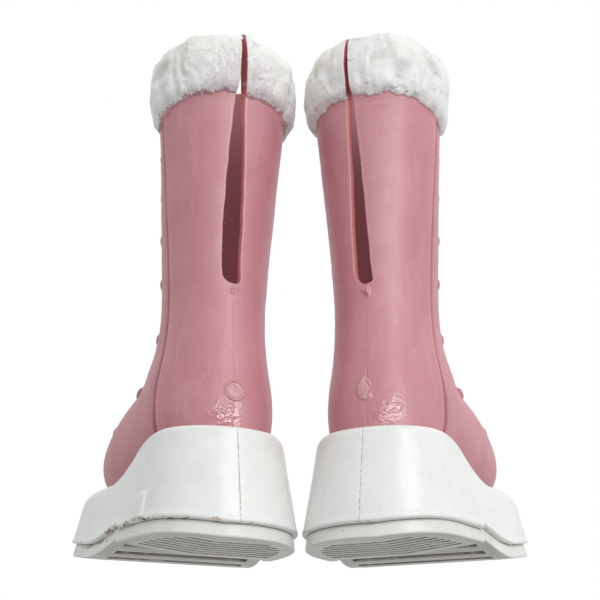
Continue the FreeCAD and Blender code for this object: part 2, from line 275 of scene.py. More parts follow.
def unplace(points, side):
    """Row frame metres back to boot frame millimetres."""
    p = np.asarray(points, float).reshape(-1, 3) / MM
    x, y = p[:, 0] * side - SHAFT_X, p[:, 1] - SHAFT_Y
    return np.stack([x * TOE_COS - y * TOE_SIN, x * TOE_SIN + y * TOE_COS, p[:, 2]], 1)


def add_object(name, data):
    obj = bpy.data.objects.new(name, data)
    bpy.context.scene.collection.objects.link(obj)
    return obj


def build(name, points, faces, side, material, attributes=None, angle=35.0):
    """A mesh object from boot-frame points, smooth apart from edges sharper than angle."""
    mesh = bpy.data.meshes.new(name)
    mesh.from_pydata(place(points, side).tolist(), [], faces)
    rest = mesh.attributes.new("rest_mm", "FLOAT_VECTOR", "POINT")
    apart = np.asarray(points).reshape(-1, 3) + (side * BOOTS_APART, 0, 0)
    rest.data.foreach_set("vector", apart.astype(np.float32).ravel())
    for key, values in (attributes or {}).items():
        layer = mesh.attributes.new(key, "FLOAT", "POINT")
        layer.data.foreach_set("value", np.asarray(values, np.float32).ravel())
    bm = bmesh.new()
    bm.from_mesh(mesh)
    bmesh.ops.recalc_face_normals(bm, faces=bm.faces)
    bm.to_mesh(mesh)
    bm.free()
    mesh.polygons.foreach_set("use_smooth", [True] * len(mesh.polygons))
    mesh.set_sharp_from_angle(angle=math.radians(angle))
    mesh.materials.append(material)
    return add_object(name, mesh)


def fit(obj, nodes=(), body=None):
    """Hides the CAD nodes that a piece stands for, and puts it on the body that it rides on, where one is
    given.
    """
    if nodes:
        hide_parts(*nodes)
    if body:
        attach(obj, body)


def quads(index, wrap=False):
    """Quads between neighbouring rows and columns of a 2-D array of vertex numbers."""
    if wrap:
        index = np.concatenate([index, index[:, :1]], 1)
    a, b, c, d = index[:-1, :-1], index[:-1, 1:], index[1:, 1:], index[1:, :-1]
    return [tuple(dict.fromkeys(q)) for q in np.stack([a, b, c, d], -1).reshape(-1, 4).tolist()
            if len(set(q)) > 2]


def shell(outer, inner, ring_row=None):
    """A closed wall between two grids of points; from ring_row on, the first and last columns are one."""
    rows, cols = outer.shape[:2]
    io = np.arange(rows * cols).reshape(rows, cols)
    ii = io + rows * cols
    last = rows
    if ring_row is not None:
        io[ring_row:, -1] = io[ring_row:, 0]
        ii[ring_row:, -1] = ii[ring_row:, 0]
        last = ring_row + 1
    faces = quads(io) + quads(ii) + quads(np.stack([io[0], ii[0]]))
    for column in (0, -1):
        faces += quads(np.stack([io[:last, column], ii[:last, column]]))
    points = np.concatenate([outer.reshape(-1, 3), inner.reshape(-1, 3)])
    if ring_row is None:
        faces += quads(np.stack([io[-1], ii[-1]]))
    else:
        faces += [tuple(io[-1, :-1].tolist()), tuple(ii[-1, :-1].tolist())]
    return points, faces


def used_only(points, faces, attributes):
    """Drops points that no face uses."""
    used = np.unique(np.concatenate([np.array(f) for f in faces]))
    renumber = np.full(len(points), -1)
    renumber[used] = np.arange(len(used))
    kept = {k: np.asarray(v).ravel()[used] for k, v in attributes.items()}
    return points[used], [tuple(renumber[list(f)].tolist()) for f in faces], kept


def lathe(rings):
    """A closed surface through a stack of closed rings (rows, columns, 3), ending in fans."""
    rows, cols = rings.shape[:2]
    index = np.arange(rows * cols).reshape(rows, cols)
    points = np.concatenate([rings.reshape(-1, 3), rings[:1].mean(1), rings[-1:].mean(1)])
    faces = quads(index, wrap=True)
    for row, centre in ((0, rows * cols), (-1, rows * cols + 1)):
        ring = index[row].tolist()
        faces += [(ring[i], ring[(i + 1) % cols], centre) for i in range(cols)]
    return points, faces


def lip(distance, radius):
    """How far a rounded edge has fallen away, at a distance from the edge."""
    d = np.clip(distance, 0, radius)
    return radius - np.sqrt(radius ** 2 - (radius - d) ** 2)


def spaced(total, pitch, fine):
    """Distances from 0 to total, in steps that grow from fine to pitch."""
    steps, step = [0.0], fine
    while steps[-1] < total:
        steps.append(steps[-1] + step)
        step = min(step * 1.35, pitch)
    return np.array(steps) * (total / steps[-1])


# ---------------- materials

def put(tree, socket, value):
    """Links a socket into another, or sets its value."""
    if isinstance(value, bpy.types.NodeSocket):
        tree.links.new(value, socket)
    elif isinstance(value, tuple) and socket.type == "RGBA":
        socket.default_value = (*value[:3], 1)
    else:
        socket.default_value = value


def add_node(tree, kind, inputs, output=0, **settings):
    """A shader node with its inputs and settings; gives one of its outputs."""
    made = tree.nodes.new("ShaderNode" + kind)
    for key, value in settings.items():
        setattr(made, key, value)
    for key, value in inputs.items():
        put(tree, made.inputs[key], value)
    return made.outputs[output]


class Graph:
    """A principled material, built from nodes by short calls that return sockets."""

    def __init__(self, name, place=None):
        self.material = bpy.data.materials.new(name)
        self.material.use_nodes = True
        self.tree = self.material.node_tree
        self.bsdf = self.tree.nodes["Principled BSDF"]
        self.place = place and place(self)

    def node(self, *args, **settings):
        return add_node(self.tree, *args, **settings)

    def attribute(self, name):
        return self.node("Attribute", {}, 2, attribute_name=name)

    def rest(self):
        """Boot-frame millimetres of a built piece, the two boots set apart."""
        return self.node("Attribute", {}, 1, attribute_name="rest_mm")

    def object_mm(self):
        place = self.node("TexCoord", {}, 3)
        return self.node("VectorMath", {0: place, "Scale": 1000.0}, operation="SCALE")

    def stretched(self, vector, factors):
        return self.node("VectorMath", {0: vector, 1: factors}, operation="MULTIPLY")

    def noise(self, scale, detail=2.0, roughness=0.5, distortion=0.0, stretch=None):
        vector = self.stretched(self.place, stretch) if stretch else self.place
        return self.node("TexNoise", {"Vector": vector, "Scale": scale, "Detail": detail,
                                      "Roughness": roughness, "Distortion": distortion})

    def dots(self, vector, scale, radius, share, seed=0.0, core=0.6):
        """Sparse round dots: radius in cells, share of cells that hold one, core the full-strength part."""
        moved = self.node("VectorMath", {0: vector, 1: (seed, seed * 0.7, 0.0)}, operation="ADD")
        distance = self.node("TexVoronoi", {"Vector": moved, "Scale": scale}, "Distance")
        near = self.band(distance, radius, radius * core)
        chosen = self.node("SeparateColor", {0: distance.node.outputs["Color"]})
        return self.times(near, self.math("LESS_THAN", chosen, share))

    def math(self, operation, a, b):
        return self.node("Math", {0: a, 1: b}, operation=operation)

    def times(self, a, b):
        return self.math("MULTIPLY", a, b)

    def plus(self, a, b):
        return self.math("ADD", a, b)

    def band(self, value, low, high):
        """0 below low and 1 above high, smoothly; low may be the larger."""
        start, end = (1.0, 0.0) if low > high else (0.0, 1.0)
        low, high = sorted((low, high))
        span = {"From Min": low, "From Max": high, "To Min": start, "To Max": end}
        return self.node("MapRange", {"Value": value, **span}, interpolation_type="SMOOTHSTEP")

    def mix(self, share, a, b):
        return self.node("Mix", {0: share, 6: a, 7: b}, 2, data_type="RGBA")

    def tint(self, mask, amount, colour):
        """Takes the material's colour towards another, by amount where the mask is 1."""
        self.colour = self.mix(mask if amount == 1 else self.times(mask, amount), self.colour, colour)

    def bump(self, height, distance, strength=1.0, normal=None):
        inputs = {"Height": height, "Distance": distance * MM, "Strength": strength}
        if normal is not None:
            inputs["Normal"] = normal
        return self.node("Bump", inputs)

    def finish(self, **inputs):
        for key, value in {"Base_Color": self.colour, **inputs}.items():
            put(self.tree, self.bsdf.inputs[key.replace("_", " ")], value)
        return self.material


def pink_vinyl(name, lit, deep):
    """Soft moulded vinyl, dulled by handling, with flow streaks and stray specks; with painted shade in its
    seams and inside, painted highlights on its edges and gate ring, and a painted glow inside.
    """
    g = Graph(name, Graph.rest)
    g.colour = g.mix(g.band(g.noise(0.16, 3.0), 0.3, 0.7), lit, deep)
    g.tint(g.band(g.noise(0.9, stretch=(1, 1, 0.12)), 0.52, 0.75), 0.30, (0.66, 0.36, 0.38))
    # painted shade: the side seam's groove and the parting line below the slit are drawn darker than the
    # vinyl
    g.tint(g.attribute("seam"), 0.92, (0.27, 0.04, 0.065))
    cut = g.attribute("cut")
    g.tint(cut, 0.9, (0.58, 0.18, 0.18))
    # paler vinyl at the gates, and painted highlights along the slit's edges, beside the side seams and on
    # the clean gate's ring
    g.tint(g.attribute("pale_gate_and_highlights"), 0.60, (0.68, 0.39, 0.38))
    inside = g.attribute("inside")
    # painted shade: the inner skin is the same vinyl, drawn darker
    g.tint(inside, 1, (0.28, 0.085, 0.10))
    g.tint(g.band(g.noise(0.7, 4.0, 0.65), 0.56, 0.72), 0.16, (0.40, 0.20, 0.20))
    g.tint(g.dots(g.place, 0.55, 0.06, 0.22), 0.8, (0.86, 0.78, 0.78))
    g.tint(g.dots(g.place, 0.30, 0.03, 0.10, 5.0), 0.7, (0.20, 0.05, 0.06))
    g.tint(g.dots(g.place, 2.2, 0.22, 0.5, 9.0), g.attribute("spray"), (0.83, 0.80, 0.80))
    gloss = g.attribute("gloss")
    rough = g.plus(0.33, g.times(g.noise(0.5, 3.0), 0.16))
    rough = g.math("SUBTRACT", rough, g.times(gloss, 0.26))
    fine = g.bump(g.noise(3.2, 3.0), 0.012)
    waves = g.bump(g.noise(0.45, stretch=(1, 1, 0.35)), 0.10, 0.5, fine)
    wrinkle = g.noise(0.80, 3.0, 0.5, 1.2, stretch=(1, 1, 1.4))
    crumpled = g.bump(g.times(wrinkle, gloss), 0.42, 1.0, waves)
    # painted glow: the inside and the cut faces give off pink light of their own, to look lit
    painted_glow = g.plus(g.times(inside, 0.078), g.times(cut, 0.05))
    return g.finish(Roughness=rough, Normal=crumpled, Subsurface_Weight=0.12,
                    Subsurface_Radius=(1.0, 0.35, 0.3), Subsurface_Scale=0.9 * MM, Specular_IOR_Level=0.42,
                    Emission_Color=(1.0, 0.37, 0.43), Emission_Strength=painted_glow)


def fur_paint():
    """Thick white paint over moulded fur, rubbed through to the vinyl beside the slit and along the hem, with
    painted highlights on its flakes.
    """
    g = Graph("fur_paint", Graph.rest)
    g.colour = g.mix(g.band(g.noise(0.35, 3.0), 0.35, 0.7), (0.86, 0.86, 0.84), (0.79, 0.795, 0.785))
    yellow = g.times(g.band(g.noise(0.42, 3.0, 0.6), 0.48, 0.66), g.attribute("stain"))
    g.tint(yellow, 0.55, (0.76, 0.66, 0.46))
    g.tint(g.attribute("hollow"), 0.48, (0.47, 0.44, 0.43))
    worn = g.attribute("worn")
    rub = g.plus(g.noise(2.1, 5.0, 0.75, stretch=(1, 1, 0.7)), g.times(worn, 0.30))
    g.tint(g.band(rub, 0.66, 0.80), 0.50, (0.53, 0.42, 0.45))
    fleck = g.times(g.dots(g.stretched(g.place, (1, 1, 0.6)), 1.5, 0.17, 0.34, 6.0), worn)
    g.tint(fleck, 0.8, (0.26, 0.17, 0.20))
    fray = g.plus(g.noise(2.3, 4.0, 0.7), g.times(g.attribute("hem"), 0.42))
    g.tint(g.band(fray, 0.77, 0.90), 0.80, (0.50, 0.17, 0.22))
    g.tint(g.dots(g.place, 0.62, 0.13, 0.20, 3.0), 0.75, (0.20, 0.13, 0.12))
    g.tint(g.attribute("inside"), 1, (0.47, 0.13, 0.14))
    jitter = g.node("TexNoise", {"Vector": g.place, "Scale": 0.9}, 1)
    shifted = g.node("VectorMath", {0: g.place, 1: jitter}, operation="ADD")
    flake = g.dots(g.stretched(shifted, (1, 1, 1.3)), 0.50, 0.40, 0.45, 8.0, 0.1)
    # painted highlight: the flakes are drawn lighter so they look glossy
    g.tint(flake, 0.4, (0.92, 0.92, 0.90))
    rough = g.plus(0.24, g.times(g.noise(0.8, 3.0), 0.2))
    rough = g.math("SUBTRACT", rough, g.times(flake, 0.12))
    domed = g.bump(flake, 0.18, 1.0, g.bump(g.noise(2.2, 4.0, 0.6), 0.09, 0.8))
    return g.finish(Roughness=rough, Normal=domed, Subsurface_Weight=0.05,
                    Subsurface_Radius=(1.0, 0.8, 0.7), Subsurface_Scale=0.5 * MM)


def white_paint(name, place, base, shade, chips):
    """Glossy sprayed white with rubbed smudges, dust specks and chips that bare the dark vinyl."""
    g = Graph(name, place)
    g.colour = g.mix(g.band(g.noise(0.22, 4.0, 0.6), 0.38, 0.72), base, shade)
    g.tint(g.band(g.noise(0.9, 5.0, 0.7, stretch=(1, 1, 0.5)), 0.56, 0.74), 0.22, (0.60, 0.60, 0.56))
    g.tint(g.dots(g.place, 0.42, 0.045, 0.30, 2.0), 0.75, (0.19, 0.16, 0.15))
    scuff = g.noise(0.8, 4.0, 0.6, 0.4, stretch=(0.35, 0.35, 3.4))
    g.tint(g.band(scuff, 0.66, 0.74), 0.28, (0.50, 0.49, 0.47))
    for mask, gain, loss, tint, low, scale in chips(g):
        likely = g.math("SUBTRACT", g.times(mask, gain), loss)
        ragged = g.plus(g.noise(scale, 5.0, 0.72, stretch=(1, 1, 1.8)), likely)
        g.tint(g.band(ragged, low, low + 0.05), 1, tint)
    rough = g.plus(0.20, g.times(g.noise(0.6, 4.0), 0.2))
    peel = g.bump(g.noise(1.3, 3.0), 0.05, 0.5)
    return g, {"Roughness": rough, "Normal": g.bump(g.noise(0.28), 0.30, 0.5, peel)}


def platform_chips(g):
    """Chips along the ledge and the parting line: mask, its gain and loss, colour, threshold and scale."""
    edge = g.attribute("edge")
    yield edge, 0.20, 0.12, (0.62, 0.53, 0.43), 0.66, 0.60
    yield g.times(edge, g.attribute("wear")), 0.29, 0.12, (0.25, 0.09, 0.07), 0.70, 1.3
    yield g.attribute("parting"), 0.34, 0.10, (0.45, 0.41, 0.37), 0.62, 1.4


def tread_chips(g):
    """Chips and a yellow stain along the rim of the tread plates, found by their height above the ground."""
    height = g.node("SeparateXYZ", {0: g.place}, 2)
    top = g.times(g.band(height, 1.0, 1.6), g.band(height, 2.25, 1.95))
    low = g.times(g.band(height, 0.7, 0.2), 0.9)
    yield g.plus(top, low), 0.14, 0.14, (0.27, 0.12, 0.09), 0.62, 1.1
    across = g.node("SeparateXYZ", {0: g.place})
    yield g.times(top, g.band(across, -22.0, -27.0)), 0.26, 0.15, (0.50, 0.40, 0.20), 0.60, 0.40


def white_sole():
    base, shade = (0.84, 0.86, 0.835), (0.80, 0.82, 0.80)
    g, coat = white_paint("white_sole_paint", Graph.rest, base, shade, platform_chips)
    return g.finish(**coat)


def tread_paint():
    """The sole's white, with painted shade on faces turned downwards, and darker in the grooves with dirt and
    painted shade.
    """
    base, shade = (0.80, 0.80, 0.775), (0.72, 0.72, 0.69)
    g, coat = white_paint("tread_paint", Graph.object_mm, base, shade, tread_chips)
    facing = g.node("SeparateXYZ", {0: g.node("NewGeometry", {}, 1)}, 2)
    # painted shade: faces turned downwards are drawn greyer and warmer
    g.tint(g.band(facing, -0.4, -0.9), 0.55, (0.60, 0.56, 0.51))
    shelter = g.node("AmbientOcclusion", {"Distance": 1.4 * MM}, "AO", samples=8)
    # dirt and painted shade: brown darkening where the occlusion mask finds the grooves shut in, broken up by
    # noise
    dirt_and_shade = g.times(g.band(shelter, 0.92, 0.50), g.band(g.noise(0.8, 4.0, 0.6), 0.22, 0.50))
    g.tint(dirt_and_shade, g.band(g.attribute("outer"), 1.0, 0.2), (0.12, 0.08, 0.055))
    return g.finish(**coat)


PINK = pink_vinyl("pink_vinyl", (0.60, 0.265, 0.30), (0.565, 0.23, 0.268))
LACE = pink_vinyl("lace_vinyl", (0.56, 0.225, 0.26), (0.50, 0.18, 0.215))
FUR = fur_paint()
WHITE = white_sole()
TREAD = tread_paint()


# ---------------- pieces

BOOTS = {-1: "left", 1: "right"}
FLAPS = {-1: "inner", 1: "outer"}
bent = []  # (piece, side, flap)


def both_skins(outer_values, shape):
    """A shell's attributes: values on the outer skin, zero on the inner skin, and the inside mask."""
    zero = np.zeros(shape[0] * shape[1])
    values = {k: np.concatenate([np.broadcast_to(v, shape).ravel(), zero]) for k, v in outer_values.items()}
    values["inside"] = np.concatenate([zero, zero + 1])
    return values


def undulation(points, seed):
    """Slight unevenness of the moulded vinyl."""
    return 0.05 * layered(points / 5.0, 2, seed) - 0.02 * noise(points / 1.2, seed + 6)


def clean_gate(x, z):
    """A trimmed moulding gate that left a clean ring: its relief, and a mask of paler vinyl in the disc with
    a painted highlight along the ring's crest.
    """
    r = np.hypot(x, z - GATE_Z)
    wavy = GATE_R + 0.06 * noise2(x * 1.5, z * 1.5, 71)
    grain = 0.04 * noise2(x * 2.5, z * 2.5, 72) * (1 - smooth(r, 0.8, 1.3))
    disc = grain - 0.07 * (1 - smooth(r, 0.92, 1.12))
    crest = bell(r - wavy, 0.13)
    # the crest's share of the mask is a painted highlight; the disc's share is paler vinyl
    return 0.20 * crest + disc, 0.8 * crest + 0.35 * (1 - smooth(r, 1.0, 1.3))


def torn_gate(x, z):
    """A gate that tore into a pointed, cracked scar: its relief, and a mask of paler vinyl."""
    rise = (z - GATE_Z - 0.25) / 1.85
    off = np.hypot((x + 0.30) / (1.08 - 0.22 * rise), rise) * 1.12
    wavy = 1.12 + 0.22 * noise2(x * 1.1 + 3, z * 1.1, 73)
    around_crack = np.hypot(x + 0.2, (z - GATE_Z - 0.15) * 0.8)
    crack = bell(around_crack - 0.78, 0.11) * smooth(x, -0.15, 0.35)
    tail = bell(x - 0.05 - 0.1 * (z - 21.5), 0.10) * smooth(z, 20.9, 21.3) * (1 - smooth(z, 22.6, 23.3))
    scar = 1 - smooth(off, wavy - 0.22, wavy + 0.08)
    return 0.26 * scar * (1 + 0.5 * noise2(x * 2.2, z * 2.2, 74)) - 0.30 * crack - 0.14 * tail, 0.9 * scar


def nub_relief(x, z, side):
    """Torn flash at the foot of the slit."""
    scale = 1.2 if side > 0 else 0.6
    flap = 0.34 * bell(x - 0.15, 0.30) * smooth(z, 33.7, 34.3) * (1 - smooth(z, 35.0, 35.5))
    chip = 0.24 * bell(x + 0.42, 0.16) * bell(z - NUB_Z, 0.28)
    return scale * (flap * (1 + 0.5 * noise2(x * 3, z * 3, 75)) + chip)


def smear_relief(x, z):
    """A curved scratch under the cuff."""
    line = z - 64.1 - 0.18 * (x - 3.0) + 0.08 * (x - 3.0) ** 2
    return 0.10 * bell(line, 0.16) * smooth(x, 0.7, 1.4) * (1 - smooth(x, 3.6, 4.8))


def quarter_rows():
    """Travel from the rim down the back and round under the heel, closer where the surface has detail."""
    rim_rows = RIM_Z - np.array([0, .04, .1, .2, .32, .5, .8])
    foot_rows = SLIT_FOOT_Z + SLIT_FOOT_HALF * np.cos(np.linspace(0, math.pi / 2, 15))
    spans = ((74.2, 66, 0.4), (66, 60, 0.2), (60, 38.4, 0.4), (38.1, 37.3, 0.2), (35.65, 33.3, 0.11),
             (33.2, 22.9, 0.35), (22.7, 17.6, 0.11), (17.4, 13, 0.3))
    z = np.concatenate([rim_rows, foot_rows, *(np.arange(high, low, -pitch) for high, low, pitch in spans)])
    s = travel_at_back(np.unique(np.round(z, 4))[::-1])
    under = np.linspace(s[-1], _travel[11], 400)
    last = under[skin(under, np.full(400, BACK))[:, 1] < SEAM_Y - 0.02][-1]
    return np.r_[s, np.arange(s[-1] + 0.4, last - 0.2, 0.4), last][:, None]


def quarter_columns():
    """Distances from the slit to the side seam, closer at both edges."""
    near = np.r_[0, .03, .07, .12, .18, .26, np.arange(0.36, 2.3, 0.1)]
    far = HALF_BACK - np.array([0, .04, .09, .15, .22, .32, .46, .66, .95, 1.3])[::-1]
    return np.r_[near, np.linspace(2.5, 11.0, 22), far][None, :]


def quarter(side, flap):
    """Half of the back of the shaft: from the slit, or the parting line below it, round to the side seam."""
    s, d = quarter_rows(), quarter_columns()
    z, width = (_station(s[:, 0])[:, column][:, None] for column in (1, 4))
    seam = seam_turn(s)

    def turned(start):
        edge = BACK + np.arcsin(start / width)
        return edge + (seam - edge) * d / HALF_BACK

    half = slit_edge(z, side, flap)
    turn, inner_turn = turned(half), turned(half - slit_slant(z, flap))
    across = skin(s, turn)[..., 0] * flap
    open_slit = slit_half(z) > 0.02
    from_seam = HALF_BACK - d
    reach = smooth(seam - BACK, 0.3, 1.0)
    rim = lip(RIM_Z - z, 0.3)

    dent = np.where(open_slit, lip(d, 0.22), 0.03 * bell(d, 0.08) * (np.abs(z - GATE_Z) > GATE_R))
    dent = dent - 0.18 * smooth(from_seam, 0.06, 0.24) * (1 - smooth(from_seam, 0.30, 1.4)) * reach
    dent = dent + 0.36 * (1 - smooth(from_seam, 0, 0.20)) * reach
    dent = dent + undulation(skin(s, turn), 11 + side)
    if flap > 0 and side > 0:
        dent = dent - smear_relief(across, z)
    relief, gate_mask = (clean_gate if side < 0 else torn_gate)(across, z)
    relief = relief * (np.abs(z - GATE_Z) < 3.6) + nub_relief(across, z, side)
    inner = WALL - rim - np.where(open_slit, lip(d, 0.16), 0)
    outer_points = rim_rise(skin(s, turn, rim + dent - relief))
    inner_points = rim_rise(skin(s, inner_turn, inner))
    for grid in (outer_points, inner_points):
        grid[..., 0] *= flap
    points, faces = shell(outer_points, inner_points)

    off_gate = smooth(np.hypot(across, z - GATE_Z), GATE_R - 0.15, GATE_R + 0.25)
    patch_x, patch_z = (1.1, 16.2) if side < 0 else (2.9, 17.0)
    # painted highlights along the slit's rounded edges and on the lip beside the side seam
    painted_edge_highlights = 0.9 * bell(d - 0.26, 0.14) * open_slit + 0.5 * bell(from_seam - 0.5, 0.22) * reach
    attributes = both_skins({
        # painted shade in the side seam's groove, and along the parting line below the slit
        "seam": bell(from_seam, 0.24) * reach + np.where(open_slit, 0, 0.13 * bell(d, 0.08)) * off_gate,
        "gloss": bell(across - patch_x, 2.0) * bell(z - patch_z, 1.9),
        "spray": 0.8 * bell(z - 13.2, 0.7) * bell(across - 0.8 * side, 2.0),
        "cut": np.where(open_slit, 1 - smooth(d, 0.02, 0.16), 0),
        "pale_gate_and_highlights": gate_mask + painted_edge_highlights}, turn.shape)
    on_cut = np.zeros(turn.shape)
    on_cut[open_slit[:, 0], 0] = 1
    attributes["cut"][turn.size:] = on_cut.ravel()
    # the inner skin takes the painted inside shade and glow, weaker on the cut face
    attributes["inside"][turn.size:] = (1 - 0.75 * on_cut).ravel()
    name, flap_name = BOOTS[side], FLAPS[flap]
    obj = build(f"{name}_{flap_name}_quarter", points, faces, side, PINK, attributes)
    fit(obj, (f"{name}_heel_quarter", f"{name}_{flap_name}_flap"))
    bent.append((obj, side, flap))


def vamp(side, name):
    """The front of the shaft and the foot, in front of the side seams."""
    rim_rows, end_rows = [0, .04, .1, .2, .32, .5, .8], [LENGTH - 0.2, LENGTH]
    s = np.r_[rim_rows, np.arange(1.2, LENGTH - 0.4, 0.42), end_rows][:, None]
    seam = seam_turn(s)
    ring_row = int(np.argmax(seam[:, 0] <= BACK + 1e-6))
    share = np.array([0, .0016, .0034, .0056, .0082, .0112, .0146, .0186, .0235, .030, .038, .048, .060])
    share = np.r_[share, np.linspace(0.072, 0.928, 64), 1 - share[::-1]][None, :]
    turn = seam + (math.pi - 2 * seam) * share
    rim = lip(s, 0.3)
    from_seam = np.minimum(share, 1 - share) * 30
    reach = s < _travel[10]
    groove = 0.10 * (1 - smooth(from_seam, 0.5, 2.0)) + 0.34 * (1 - smooth(from_seam, 0.35, 0.85))
    inset = rim + groove * reach + undulation(skin(s, turn), 21 + side)
    # The inner skin stops short of the toe's tip, to leave a wall there
    blunt = LENGTH - 6
    s_inner = np.where(s > blunt, blunt + (s - blunt) * 0.8, s)
    inner_points = rim_rise(skin(s_inner, turn, WALL - rim))
    points, faces = shell(rim_rise(skin(s, turn, inset)), inner_points, ring_row)
    # painted shade in the side seam's groove
    values = {"seam": np.exp(-(from_seam / 0.72) ** 4) * reach}
    points, faces, attributes = used_only(points, faces, both_skins(values, turn.shape))
    obj = build(f"{name}_vamp_skin", points, faces, side, PINK, attributes)
    fit(obj, [f"{name}_vamp"], f"{name}_boot")


def outward(s, turn):
    """Unit vectors out of the skin."""
    out = skin(s, turn, -0.5) - skin(s, turn)
    return out / np.linalg.norm(out, axis=-1, keepdims=True)


def tube(s, turn, lift, half_width, height):
    """A closed half-round cord on the skin along (s, turn), raised by lift."""
    out = outward(s, turn)
    path = skin(s, turn) + out * lift[:, None]
    along = np.gradient(path, axis=0)
    along /= np.linalg.norm(along, axis=1)[:, None]
    across = np.cross(along, out)
    angle = np.linspace(0, 2 * math.pi, 10, endpoint=False)
    share = np.linspace(0, 1, len(path))
    end = np.sqrt(np.clip(1 - (2 * share - 1) ** 16, 0.02, 1))[:, None, None]
    ring = (across[:, None] * (half_width * np.cos(angle))[None, :, None]
            + out[:, None] * (height * np.sin(angle))[None, :, None])
    return lathe(path[:, None] + ring * end)


STUD_PROFILE = ((0.95, -0.35), (0.95, 0.04), (0.90, 0.16), (0.78, 0.25), (0.60, 0.30), (0.44, 0.29),
                (0.36, 0.23), (0.30, 0.17), (0.14, 0.15))


def stud(s, turn):
    """A round stud on the skin, with a dimple; its profile gives radius and height."""
    middle, out = skin(s, turn), outward(s, turn)
    first = np.cross(out, (0, 0, 1.0))
    first /= np.linalg.norm(first)
    second = np.cross(out, first)
    angle = np.linspace(0, 2 * math.pi, 22, endpoint=False)
    circle = np.outer(np.cos(angle), first) + np.outer(np.sin(angle), second)
    return lathe(np.array([middle + out * rise + radius * circle for radius, rise in STUD_PROFILE]))


def joined(parts):
    """One set of points and faces from several."""
    points, faces, start = [], [], 0
    for p, f in parts:
        points.append(p)
        faces += [tuple(i + start for i in face) for face in f]
        start += len(p)
    return np.concatenate(points), faces


def lacing(side, name):
    """Crossed half-round laces up the front and the studs that they turn round."""
    turns = (HOOK_TURN, math.pi - HOOK_TURN)
    rows = travel_at_front(LACE_ROWS_Z)
    t = np.linspace(0, 1, 34)
    cords = []
    for k, (upper, lower) in enumerate(zip(rows, rows[1:])):
        for n, (a, b) in enumerate((turns, turns[::-1])):
            wobble = 0.12 * noise2(t * 3, k + n * 0.5 + side, 90)
            over = 0.30 if (k + n) % 2 else -0.03
            lift = 0.02 + over * bell(t - 0.5, 0.09)
            cords.append(tube(upper + (lower - upper) * t + wobble, a + (b - a) * t, lift, 0.55, 0.36))
    level = turns[0] + (turns[1] - turns[0]) * t
    cords.append(tube(rows[0] + 0 * t, level, 0.03 + 0 * t, 0.58, 0.36))
    cords.append(tube(rows[-1] + 0.5 * np.sin(math.pi * t), level, 0.02 + 0 * t, 0.58, 0.36))
    studs = [stud(row, turn) for row in rows for turn in turns]
    for parts, label, node, angle in ((cords, "cords", "laces", 60), (studs, "studs", "lace_hooks", 50)):
        points, faces = joined(parts)
        obj = build(f"{name}_lace_{label}", points, faces, side, LACE, angle=angle)
        fit(obj, [f"{name}_{node}"], f"{name}_boot")


def fur(around, z, seed):
    """The height of the moulded fur in millimetres: soft hanging locks, knots and broad swellings."""
    warp = 0.8 * noise2(around / 2.8, z / 3.2, seed) + 0.3 * noise2(around / 1.3, z / 1.8, seed + 1)
    locks = noise2((around + warp) / 1.25, z / 4.2, seed + 2)
    ridge = 1 - 2 * np.sqrt(noise2((around + warp + 0.2 * z) / 2.3, z / 3.4, seed + 6) ** 2 + 0.02)
    knots = noise2((around + warp) / 0.9, z / 1.3, seed + 3)
    broad = noise2(around / 3.2, z / 3.4, seed + 4)
    fine = 0.025 * noise2(around / 0.4, z / 0.6, seed + 5)
    return 0.20 * locks + 0.18 * ridge + 0.09 * knots + 0.28 * broad + fine


def fur_masks(side, flap, d, v, around, z, height, seed):
    """Where the cuff's paint is rubbed, frayed, stained and shaded, d from the slit and v up the profile."""
    share = (z - CUFF_FOOT_Z) / CUFF_DEPTH
    wide = bell(d, 6.0) if side < 0 else 0.45 * bell(d, 2.5)
    rubbed = 0.55 * bell(d, 4.0) * (1 - 0.5 * share) * (side < 0) + 0.25 * (1 - smooth(share, 0.0, 0.3))
    hem = 1 - smooth(v + 0.3 * noise2(around / 1.2, z / 1.2, seed + 12), 0.05, 1.1)
    stain = smooth(share, 0.35, 0.7) * smooth(d, 1.0, 4.0) * (1 - smooth(d, 11.0, 15.0))
    return {"worn": np.clip(wide * (1.15 - 1.2 * share) + rubbed, 0, 1.2),
            "hem": hem * (1 - 0.4 * (side > 0)),
            "stain": stain * (1.0 if (side < 0) == (flap > 0) else 0.35),
            "hollow": smooth(-height, 0.12, 0.45)}


